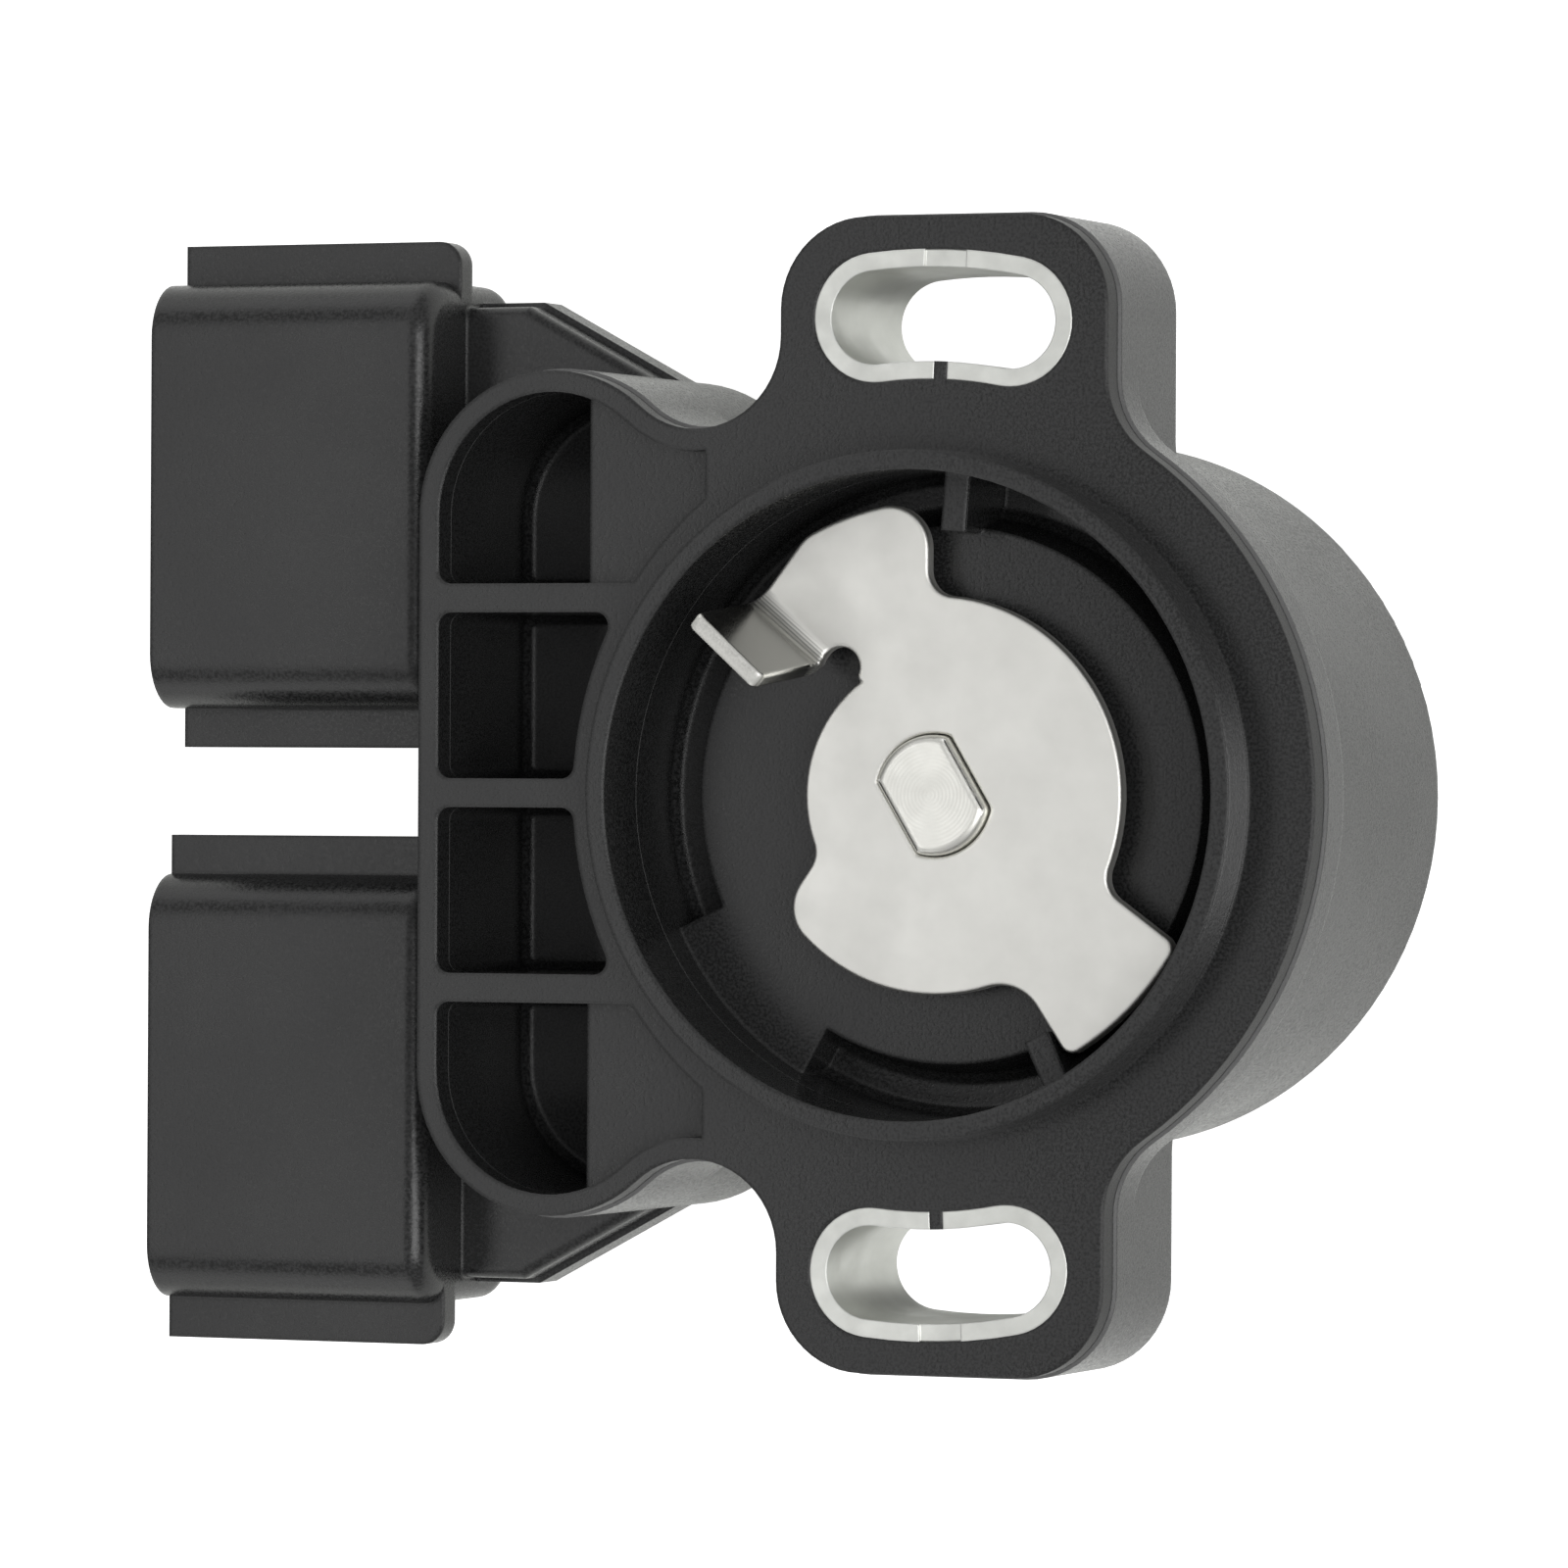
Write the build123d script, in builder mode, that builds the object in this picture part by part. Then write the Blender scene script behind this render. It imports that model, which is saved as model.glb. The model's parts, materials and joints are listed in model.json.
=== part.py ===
"""Throttle position sensor with a drive lever, slotted lugs and two plug sockets.

Millimetres. The origin is on the shaft axis in the plane of the mounting face.
+Z points out of that face towards the throttle body, +X points away from the
sockets, and the two lugs lie along +Y and -Y.
"""

import os
from math import acos, cos, degrees, radians, sin, sqrt

from build123d import *

os.makedirs("parts", exist_ok=True)

# Mounting flange
face_width = 4.1
flange_thickness = 4.5
rim_depth = 1.7
rim_step = 0.18

# Lugs
lug_offset = 1.1
lug_width = 20.0
lug_rim = 2.05
lug_corner = 5.3
lug_thickness = 10.8
blend_radius = 5.0

# Slots and their rolled steel sleeves
slot_pitch_radius = 27.0
slot_length = 13.5
slot_width = 5.3
sleeve_wall = 1.0
sleeve_seam = 0.8
sleeve_notch_width = 2.5
sleeve_notch_depth = 0.18

# Ribbed box beside the bore
pocket_span = 8.45
box_half_height = 24.3
box_crown_radius = 8.4
box_depth = 20.8
box_wall = 1.4
rib_thickness = 1.65
rib_pitch = 11.15
pocket_depth = 12.5
pocket_length = 8.8
pocket_corner = 0.8
pocket_edge = 0.5
recess_depth = 1.5
recess_tip = 13.3
collar_wall = 2.1

# Bore, locating lip and stops
bore_radius = 18.2
lip_wall = 1.1
lip_height = 3.0
platform_depth = 4.1
channel_width = 3.0
channel_depth = 7.4
channel_draft = 0.7
channel_edge = 0.5
channel_start_angle = -119.0
channel_end_angle = 205.0
stop_width = 1.45
stop_depth = 1.5
stop_bite = 0.3
stop_angles = (85.5, -65.0)

# Sockets
socket_gap = 2.85
socket_length = 17.9
socket_width = 25.1
socket_height = 13.5
socket_corner = 3.2
socket_wall = 1.5
cavity_corner = 0.8
socket_floor = 2.6
socket_pitch = 34.9
socket_level = 14.3
socket_end_fillet = 1.2
upper_rail_level = 13.1
lower_rail_level = 11.4
rail_height = 1.6
rail_outer = 2.4
rail_inner = 2.3
rail_corner = 1.4

# Web between the sockets and the box
web_level = 13.0
web_thickness = 5.0
web_step = 0.35
web_inset = 1.1
web_shoulder = 1.1
web_length = 13.8
web_drop = 2.3
web_fillet = 0.6

# Barrel and chamber
barrel_wall = 1.55
barrel_edge = 0.8
chamber_radius = 16.5
partition_thickness = 3.6
boss_wall = 2.2

# Shaft, bush and seal
shaft_radius = 4.0
shaft_fit = 0.03
bush_wall = 1.5
bush_length = 8.0
seal_length = 2.0
seal_groove_wall = 0.5
neck_radius = 3.4
neck_flats = 4.95
neck_fit = 0.08
neck_turn = -59.0
neck_proud = 0.6
neck_edge = 0.3
shaft_tail = 0.6
washer_thickness = 1.3
washer_radius = 7.0
running_gap = 0.05
clip_thickness = 0.8
clip_radius = 6.2
clip_groove = 0.5
clip_gap = 0.2
clip_mouth = 5.0

# Lever plate: angles are measured from +X at rest
lever_thickness = 1.0
disc_clear = 6.95
waist_depth = 3.45
waist_start = 125.0
waist_end = 206.0
lobe_angle = 215.5
lobe_fillet = 2.3
tail_clear = 1.45
tail_low_angle = -61.0
tail_high_angle = -29.7
tail_low_root = -63.3
tail_high_root = -26.7
tail_corner = 0.8
arm_clear = 1.6
arm_edge = -0.4
arm_end_angle = 118.6
arm_corner = 2.4
lever_blend = 1.5
tail_blend = 2.6
tab_inset = 1.1
tab_base_angle = 130.9
tab_root_inset = 1.05
tab_root_angle = 127.2
tab_height = 7.0
tab_lean = 9.0
tab_corner = 0.5
tab_bend = 1.1
relief_radius = 1.15
relief_inset = 1.0
relief_angle = 128.4

# Return spring: a flat strip wound in half turns from the rotor hub to a post
spring_strip = 0.3
spring_width = 7.85
spring_pitch = 1.3
spring_half_turns = 7
spring_gap = 0.3
spring_fit = 0.1
spring_post_radius = 0.9
spring_hook_angle = 210.0
spring_tongue_depth = 1.2
spring_tongue_width = 2.5

# Rotor and its wipers
rotor_radius = 15.2
rotor_thickness = 2.6
rotor_hub_wall = 2.4
wiper_thickness = 0.3
wiper_width = 3.0
wiper_drop = 3.2
wiper_foot = 4.0
wiper_reach = 4.5
wiper_toe = 0.8
wiper_clear = 0.2
wiper_radii = (11.6, 7.6)

# Track card, cover seal and rear cover
card_thickness = 1.2
card_rim = 1.5
card_fit = 0.05
cover_seal_thickness = 1.0
cover_rim = 1.2
cover_thickness = 2.6
cover_fit = 0.05
cover_dish_depth = 0.6
cover_dish_rim = 2.4

# Terminals
pin_pitch = 5.0
pin_width = 2.8
pin_thickness = 0.8
pin_reach = 9.0
pin_point = 0.7
strip_width = 1.8
leg_pitch_angle = 16.0
pins_per_socket = 3

# Levels along the shaft axis, measured from the mounting face
platform_level = -platform_depth
channel_level = -channel_depth
partition_level = channel_level - partition_thickness
washer_level = platform_level + running_gap
lever_level = washer_level + washer_thickness
lever_top = lever_level + lever_thickness
shaft_end = lever_top + neck_proud
seal_level = platform_level - seal_length
bush_level = seal_level - bush_length
clip_level = bush_level - clip_gap - clip_thickness
spring_level = partition_level - spring_gap - spring_width
rotor_top = spring_level - spring_gap
rotor_level = rotor_top - rotor_thickness
shaft_tail_level = rotor_level - shaft_tail
card_top = rotor_level - wiper_drop
card_level = card_top - card_thickness
cover_top = card_level - cover_seal_thickness
rear_level = cover_top - cover_thickness

# Plan values that several pieces share
lug_left = lug_offset - lug_width / 2
lug_right = lug_offset + lug_width / 2
lug_reach = slot_pitch_radius + slot_width / 2 + sleeve_wall + lug_rim
lip_radius = bore_radius + lip_wall
flange_radius = lip_radius + face_width
collar_radius = lip_radius + collar_wall
box_reach = collar_radius + pocket_span + box_wall
crown_centre = (box_crown_radius - box_reach, box_half_height - box_crown_radius)
platform_radius = bore_radius - channel_width
bush_radius = shaft_radius + bush_wall
boss_radius = bush_radius + boss_wall
card_radius = chamber_radius + card_rim
cover_radius = card_radius + cover_rim
barrel_radius = cover_radius + barrel_wall
socket_back = -box_reach - socket_gap
socket_mouth = socket_length - socket_back
leg_radius = chamber_radius + card_rim / 2
strip_level = -socket_level - pin_thickness / 2
slot_angle = degrees(acos(lug_offset / slot_pitch_radius))
hub_radius = shaft_radius + rotor_hub_wall
spring_radius = boss_radius + spring_gap + spring_strip / 2
tongue_start = hub_radius - spring_tongue_depth
tail_radius = bore_radius - tail_clear
arm_radius = bore_radius - arm_clear
tab_base_radius = arm_radius - tab_inset
lever_disc_radius = bore_radius - disc_clear
waist_radius = lever_disc_radius - waist_depth
tab_root_radius = lever_disc_radius - tab_root_inset
relief_reach = tab_root_radius - relief_inset


def polar(radius, angle):
    """Point at a radius and an angle about the shaft axis."""
    return (radius * cos(radians(angle)), radius * sin(radians(angle)))


def lug_plan(round_radius, inset, level):
    """Outline of the flange, both lugs and the box, drawn in by inset."""
    crown = box_crown_radius - inset
    blend = blend_radius + inset
    corner = lug_corner - inset
    left = lug_left + inset
    right = lug_right - inset
    top = lug_reach - inset
    outer = round_radius - inset
    crown_x, crown_y = crown_centre
    hollow_x = left - blend
    hollow_y = crown_y + sqrt((crown + blend) ** 2 - (hollow_x - crown_x) ** 2)
    share = crown / (crown + blend)
    crown_end = (crown_x + share * (hollow_x - crown_x), crown_y + share * (hollow_y - crown_y))
    neck_x = right + blend
    neck_y = sqrt((outer + blend) ** 2 - neck_x**2)
    share = outer / (outer + blend)
    round_start = (share * neck_x, share * neck_y)
    with BuildSketch(Plane.XY.offset(level)) as plan:
        with BuildLine():
            wall = Line((inset - box_reach, 0), (inset - box_reach, crown_y))
            crown_arc = TangentArc(wall @ 1, crown_end, tangent=wall % 1)
            hollow = TangentArc(crown_arc @ 1, (left, hollow_y), tangent=crown_arc % 1)
            side = Line(hollow @ 1, (left, top - corner))
            corner_a = TangentArc(side @ 1, (left + corner, top), tangent=side % 1)
            head = Line(corner_a @ 1, (right - corner, top))
            corner_b = TangentArc(head @ 1, (right, top - corner), tangent=head % 1)
            side_b = Line(corner_b @ 1, (right, neck_y))
            neck = TangentArc(side_b @ 1, round_start, tangent=side_b % 1)
            rim = TangentArc(neck @ 1, (outer, 0), tangent=neck % 1)
            Line(rim @ 1, wall @ 0)
        make_face()
        mirror(about=Plane.XZ)
    return plan.sketch


def base_plan(level):
    """Outline of the box and barrel behind the lugs."""
    crown_x, crown_y = crown_centre
    reach = sqrt(crown_x**2 + crown_y**2)
    near = barrel_radius + blend_radius
    far = box_crown_radius + blend_radius
    along = (near**2 - far**2 + reach**2) / (2 * reach)
    across = sqrt(near**2 - along**2)
    hollow_x = (along * crown_x + across * crown_y) / reach
    hollow_y = (along * crown_y - across * crown_x) / reach
    share = box_crown_radius / far
    crown_end = (crown_x + share * (hollow_x - crown_x), crown_y + share * (hollow_y - crown_y))
    share = barrel_radius / near
    round_start = (share * hollow_x, share * hollow_y)
    with BuildSketch(Plane.XY.offset(level)) as plan:
        with BuildLine():
            wall = Line((-box_reach, 0), (-box_reach, crown_y))
            crown_arc = TangentArc(wall @ 1, crown_end, tangent=wall % 1)
            hollow = TangentArc(crown_arc @ 1, round_start, tangent=crown_arc % 1)
            rim = TangentArc(hollow @ 1, (barrel_radius, 0), tangent=hollow % 1)
            Line(rim @ 1, wall @ 0)
        make_face()
        mirror(about=Plane.XZ)
    return plan.sketch


def web_plan(level, inset):
    """Outline of the web from the sockets to the box."""
    half_width = socket_pitch / 2 + socket_width / 2 - web_inset - inset
    tip_half_width = box_half_height - web_drop - inset
    with BuildSketch(Plane.XY.offset(level)) as plan:
        with BuildLine():
            Polyline(
                (socket_back - socket_end_fillet, 0),
                (socket_back - socket_end_fillet, half_width),
                (web_shoulder - box_reach, half_width),
                (web_length - box_reach, tip_half_width),
                (crown_centre[0] + box_crown_radius, 0),
                close=True,
            )
        make_face()
        mirror(about=Plane.XZ)
    return plan.sketch


def end_pocket_plan(right_edge):
    """One end pocket: inside the wall, outside the collar, beyond the outer rib."""
    low = rib_pitch + rib_thickness / 2
    with BuildSketch() as plan:
        add(lug_plan(flange_radius, box_wall, 0))
        with Locations((-right_edge, low)):
            Rectangle(
                box_reach,
                box_half_height,
                align=(Align.MAX, Align.MIN),
                mode=Mode.INTERSECT,
            )
        Circle(collar_radius, mode=Mode.SUBTRACT)
        tips = plan.vertices().sort_by(Axis.X)[:2]
        fillet(tips.sort_by(Axis.Y)[:1], radius=pocket_corner)
    return plan.sketch


def middle_pocket_plan():
    """One middle pocket: between two ribs, from the wall to the collar."""
    low = rib_thickness / 2
    high = rib_pitch - rib_thickness / 2
    with BuildSketch() as plan:
        with Locations((box_wall - box_reach, low)):
            Rectangle(box_reach - box_wall, high - low, align=(Align.MIN, Align.MIN))
        Circle(collar_radius, mode=Mode.SUBTRACT)
        fillet(plan.vertices(), radius=pocket_corner)
    return plan.sketch


def slot_plan(side, grow, level):
    """A slot bent about the shaft axis, on the lug at side +1 or -1."""
    width = slot_width + 2 * grow
    sweep_angle = degrees((slot_length - slot_width) / slot_pitch_radius)
    middle = side * slot_angle
    with BuildLine(mode=Mode.PRIVATE) as centre_line:
        CenterArc((0, 0), slot_pitch_radius, middle - sweep_angle / 2, sweep_angle)
    with BuildSketch(Plane.XY.offset(level)) as plan:
        SlotArc(centre_line.edge(), width)
    return plan.sketch


def double_d_plan(radius, flats, level):
    """A round with two flats, turned to the lever's rest position."""
    with BuildSketch(Plane.XY.offset(level)) as plan:
        Circle(radius)
        Rectangle(2 * radius, flats, rotation=neck_turn, mode=Mode.INTERSECT)
    return plan.sketch


def spring_line():
    """Middle line of the spring strip and the centre of the post that it hooks round."""
    with BuildLine(mode=Mode.PRIVATE) as spine:
        arc = JernArc((spring_radius, 0), (0, -1), spring_radius, -180)
        for half in range(1, spring_half_turns):
            arc = JernArc(arc @ 1, arc % 1, spring_radius + half * spring_pitch / 2, -180)
        hook_radius = spring_post_radius + spring_fit + spring_strip / 2
        hook = JernArc(arc @ 1, arc % 1, hook_radius, spring_hook_angle)
    return spine.edges(), hook.arc_center


def terminal_runs():
    """Side, row place and leg angle of each terminal."""
    runs = []
    for side in (1, -1):
        for index in range(pins_per_socket):
            row = side * (socket_pitch / 2 + (index - (pins_per_socket - 1) / 2) * pin_pitch)
            angle = 180 - side * leg_pitch_angle * (index + 0.5)
            runs.append((side, index, row, angle))
    return runs


# Steel sleeves rolled to the slots, with an open seam towards the bore
sleeve_seats = []
for sleeve_name, side in (("upper_slot_sleeve", 1), ("lower_slot_sleeve", -1)):
    seam_frame = Plane.XY.rotated((0, 0, side * slot_angle))
    with BuildPart() as sleeve:
        extrude(slot_plan(side, sleeve_wall, 0), amount=-lug_thickness)
        extrude(slot_plan(side, 0, 0), amount=-lug_thickness, mode=Mode.SUBTRACT)
        with BuildSketch(seam_frame):
            with Locations((slot_pitch_radius, 0)):
                Rectangle(slot_width, sleeve_seam, align=(Align.MAX, Align.CENTER))
        extrude(amount=-lug_thickness, mode=Mode.SUBTRACT)
        sleeve_seats.append(sleeve.part)
        with BuildSketch(seam_frame):
            with Locations((slot_pitch_radius, 0)):
                Rectangle(slot_width, sleeve_notch_width, align=(Align.MIN, Align.CENTER))
        extrude(amount=-sleeve_notch_depth, mode=Mode.SUBTRACT)
    sleeve.part.label = sleeve_name
    export_step(sleeve.part, f"parts/{sleeve_name}.step")

# Terminals: a flat pin in the socket, a slanted strip and a leg down to the track card
terminals = {}
for side, index, row, angle in terminal_runs():
    terminal_name = f"{'upper' if side > 0 else 'lower'}_terminal_{index + 1}"
    leg_frame = Plane.XY.offset(strip_level + pin_thickness).rotated((0, 0, angle))
    leg_point = polar(leg_radius, angle)
    pin_root = socket_back - socket_floor
    with BuildPart() as terminal:
        with BuildSketch(Plane.XY.offset(strip_level)):
            with BuildLine():
                Polyline(
                    (pin_root - pin_reach, row - pin_width / 2 + pin_point),
                    (pin_root - pin_reach, row + pin_width / 2 - pin_point),
                    (pin_root - pin_reach + pin_point, row + pin_width / 2),
                    (pin_root, row + pin_width / 2),
                    (pin_root, row - pin_width / 2),
                    (pin_root - pin_reach + pin_point, row - pin_width / 2),
                    close=True,
                )
            make_face()
            with BuildLine() as run:
                Polyline((pin_root, row), (socket_back, row), leg_point)
            trace(run.edges(), line_width=strip_width)
        extrude(amount=pin_thickness)
        with BuildSketch(leg_frame):
            with Locations((leg_radius, 0)):
                Rectangle(pin_thickness, strip_width)
        extrude(amount=card_top - strip_level - pin_thickness)
    terminal.part.label = terminal_name
    export_step(terminal.part, f"parts/{terminal_name}.step")
    terminals[terminal_name] = terminal.part

# Lever stops: two ribs that stand in the channel round the platform
with BuildPart() as stops:
    for stop_angle in stop_angles:
        stop_frame = Plane.XY.offset(channel_level - stop_bite).rotated((0, 0, stop_angle))
        with BuildSketch(stop_frame):
            with Locations((platform_radius - stop_bite, 0)):
                Rectangle(
                    channel_width + 2 * stop_bite,
                    stop_width,
                    align=(Align.MIN, Align.CENTER),
                )
        extrude(amount=channel_depth + stop_bite - stop_depth)

# Open space of the channel and of the bore in front of it, each less the stops
with BuildPart() as channel_core:
    channel_frame = Plane.XZ.rotated((0, 0, channel_start_angle))
    with BuildSketch(channel_frame) as channel:
        with BuildLine():
            Polyline(
                (platform_radius, platform_level),
                (platform_radius + channel_draft, channel_level),
                (bore_radius, channel_level),
                (bore_radius, platform_level),
                close=True,
            )
        make_face()
        chamfer(channel.vertices().group_by(Axis.Y)[0], length=channel_edge)
    revolve(axis=Axis.Z, revolution_arc=channel_end_angle - channel_start_angle)
    add(stops.part, mode=Mode.SUBTRACT)
with BuildPart() as bore_core:
    with BuildSketch(Plane.XY.offset(lip_height)):
        Circle(bore_radius)
    extrude(amount=platform_level - lip_height)
    add(stops.part, mode=Mode.SUBTRACT)
    add(channel_core.part)

# Housing: one moulding with the flange, box, sockets, bore and rear chamber
spring_edges, spring_post = spring_line()
with BuildPart() as housing:
    for side in (1, -1):
        with BuildSketch(Plane.YZ.offset(-socket_mouth)):
            with Locations((side * socket_pitch / 2, -socket_level)):
                RectangleRounded(socket_width, socket_height, socket_corner)
        extrude(amount=socket_length)
        back_edges = edges(Select.LAST).group_by(Axis.X)[-1]
        fillet(back_edges, radius=socket_end_fillet)
    for side, rail_level in ((1, upper_rail_level), (-1, lower_rail_level)):
        outer = side * (socket_pitch / 2 + socket_width / 2 + rail_outer)
        inner = side * (socket_pitch / 2 - socket_width / 2 - rail_inner)
        with BuildSketch(Plane.XY.offset(-rail_level - rail_height / 2)) as rail:
            with Locations((socket_back - socket_length / 2, (outer + inner) / 2)):
                Rectangle(socket_length, abs(outer - inner))
            fillet(rail.vertices().group_by(Axis.X)[-1], radius=rail_corner)
        extrude(amount=rail_height)
    web_front = extrude(
        web_plan(-web_level, web_step), amount=-web_thickness / 2, mode=Mode.PRIVATE
    )
    add(web_front.fillet(web_fillet, web_front.edges().group_by(Axis.Z)[-1]))
    extrude(web_plan(-web_level - web_thickness / 2, 0), amount=-web_thickness / 2)
    extrude(lug_plan(flange_radius, rim_step, 0), amount=-rim_depth)
    extrude(lug_plan(flange_radius, 0, -rim_depth), amount=rim_depth - flange_thickness)
    extrude(lug_plan(barrel_radius, 0, -flange_thickness), amount=flange_thickness - lug_thickness)
    extrude(base_plan(-lug_thickness), amount=lug_thickness - box_depth)
    with BuildSketch(Plane.XY.offset(-box_depth)):
        Circle(barrel_radius)
    extrude(amount=rear_level + box_depth)
    fillet(edges(Select.LAST).group_by(Axis.Z)[0], radius=barrel_edge)
    with BuildSketch():
        Circle(lip_radius)
    extrude(amount=lip_height)
    add(bore_core.part, mode=Mode.SUBTRACT)
    # Pockets between the ribs of the box
    deep_right = box_reach - box_wall - pocket_length
    recess = end_pocket_plan(recess_tip)
    for outline in (recess, mirror(recess, about=Plane.XZ, mode=Mode.PRIVATE)):
        extrude(outline, amount=-recess_depth, mode=Mode.SUBTRACT)
    for pocket in (end_pocket_plan(deep_right), middle_pocket_plan()):
        core = extrude(pocket, amount=-pocket_depth, mode=Mode.PRIVATE)
        core = core.chamfer(pocket_edge, None, core.edges().group_by(Axis.Z)[0])
        for side_core in (core, mirror(core, about=Plane.XZ, mode=Mode.PRIVATE)):
            add(side_core, mode=Mode.SUBTRACT)
    # Socket cavities
    for side in (1, -1):
        with BuildSketch(Plane.YZ.offset(-socket_mouth)):
            with Locations((side * socket_pitch / 2, -socket_level)):
                RectangleRounded(
                    socket_width - 2 * socket_wall,
                    socket_height - 2 * socket_wall,
                    cavity_corner,
                )
        extrude(amount=socket_length - socket_floor, mode=Mode.SUBTRACT)
    # Rear chamber with seats for the card and the cover, and the bush boss
    with BuildSketch(Plane.XY.offset(partition_level)):
        Circle(chamber_radius)
    extrude(amount=rear_level - partition_level, mode=Mode.SUBTRACT)
    with BuildSketch(Plane.XY.offset(card_top)):
        Circle(card_radius)
    extrude(amount=rear_level - card_top, mode=Mode.SUBTRACT)
    with BuildSketch(Plane.XY.offset(card_level)):
        Circle(cover_radius)
    extrude(amount=rear_level - card_level, mode=Mode.SUBTRACT)
    with BuildSketch(Plane.XY.offset(partition_level)):
        Circle(boss_radius)
    extrude(amount=bush_level - partition_level)
    with BuildSketch(Plane.XY.offset(platform_level)):
        Circle(bush_radius)
    extrude(amount=bush_level - platform_level, mode=Mode.SUBTRACT)
    # Post that holds the hooked end of the return spring
    with BuildSketch(Plane.XY.offset(partition_level)):
        with Locations(spring_post):
            Circle(spring_post_radius)
    extrude(amount=spring_level - partition_level)
    # Seats of the sleeves and the moulded-in terminals
    for side, sleeve_seat in zip((1, -1), sleeve_seats):
        extrude(slot_plan(side, 0, 0), amount=-lug_thickness, mode=Mode.SUBTRACT)
        add(sleeve_seat, mode=Mode.SUBTRACT)
    for moulded_in in terminals.values():
        add(moulded_in, mode=Mode.SUBTRACT)
housing.part.label = "housing"
export_step(housing.part, "parts/housing.step")

# Lip seal and sintered bush that carry the shaft in the boss
with BuildPart() as shaft_seal:
    with BuildSketch(Plane.XY.offset(seal_level)):
        Circle(bush_radius)
        Circle(shaft_radius + shaft_fit, mode=Mode.SUBTRACT)
    extrude(amount=seal_length)
    with BuildSketch(Plane.XY.offset(platform_level)):
        Circle(bush_radius - seal_groove_wall)
        Circle(shaft_radius + shaft_fit + seal_groove_wall, mode=Mode.SUBTRACT)
    extrude(amount=-seal_length / 2, mode=Mode.SUBTRACT)
shaft_seal.part.label = "shaft_seal"
export_step(shaft_seal.part, "parts/shaft_seal.step")

with BuildPart() as shaft_bush:
    with BuildSketch(Plane.XY.offset(bush_level)):
        Circle(bush_radius)
        Circle(shaft_radius + shaft_fit, mode=Mode.SUBTRACT)
    extrude(amount=bush_length)
shaft_bush.part.label = "shaft_bush"
export_step(shaft_bush.part, "parts/shaft_bush.step")

# Shaft: double-D neck at the lever, clip groove behind the bush
with BuildPart() as rotor_shaft:
    with BuildSketch(Plane.XY.offset(lever_level)):
        Circle(shaft_radius)
    extrude(amount=shaft_tail_level - lever_level)
    chamfer(edges(Select.LAST).group_by(Axis.Z)[0], length=neck_edge)
    extrude(double_d_plan(neck_radius, neck_flats, lever_level), amount=shaft_end - lever_level)
    chamfer(edges().group_by(Axis.Z)[-1], length=neck_edge)
    with BuildSketch(Plane.XY.offset(clip_level)):
        Circle(shaft_radius)
        Circle(shaft_radius - clip_groove, mode=Mode.SUBTRACT)
    extrude(amount=clip_thickness, mode=Mode.SUBTRACT)
rotor_shaft.part.label = "rotor_shaft"
export_step(rotor_shaft.part, "parts/rotor_shaft.step")

# Thrust washer between the lever and the platform
with BuildPart() as thrust_washer:
    with BuildSketch(Plane.XY.offset(washer_level)):
        Circle(washer_radius)
        Circle(shaft_radius + shaft_fit, mode=Mode.SUBTRACT)
    extrude(amount=washer_thickness)
thrust_washer.part.label = "thrust_washer"
export_step(thrust_washer.part, "parts/thrust_washer.step")

# Open retaining clip in the shaft groove
with BuildPart() as retaining_clip:
    with BuildSketch(Plane.XY.offset(clip_level)):
        Circle(clip_radius)
        Circle(shaft_radius - clip_groove, mode=Mode.SUBTRACT)
        Rectangle(clip_radius, clip_mouth, align=(Align.MIN, Align.CENTER), mode=Mode.SUBTRACT)
    extrude(amount=clip_thickness)
retaining_clip.part.label = "retaining_clip"
export_step(retaining_clip.part, "parts/retaining_clip.step")

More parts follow.
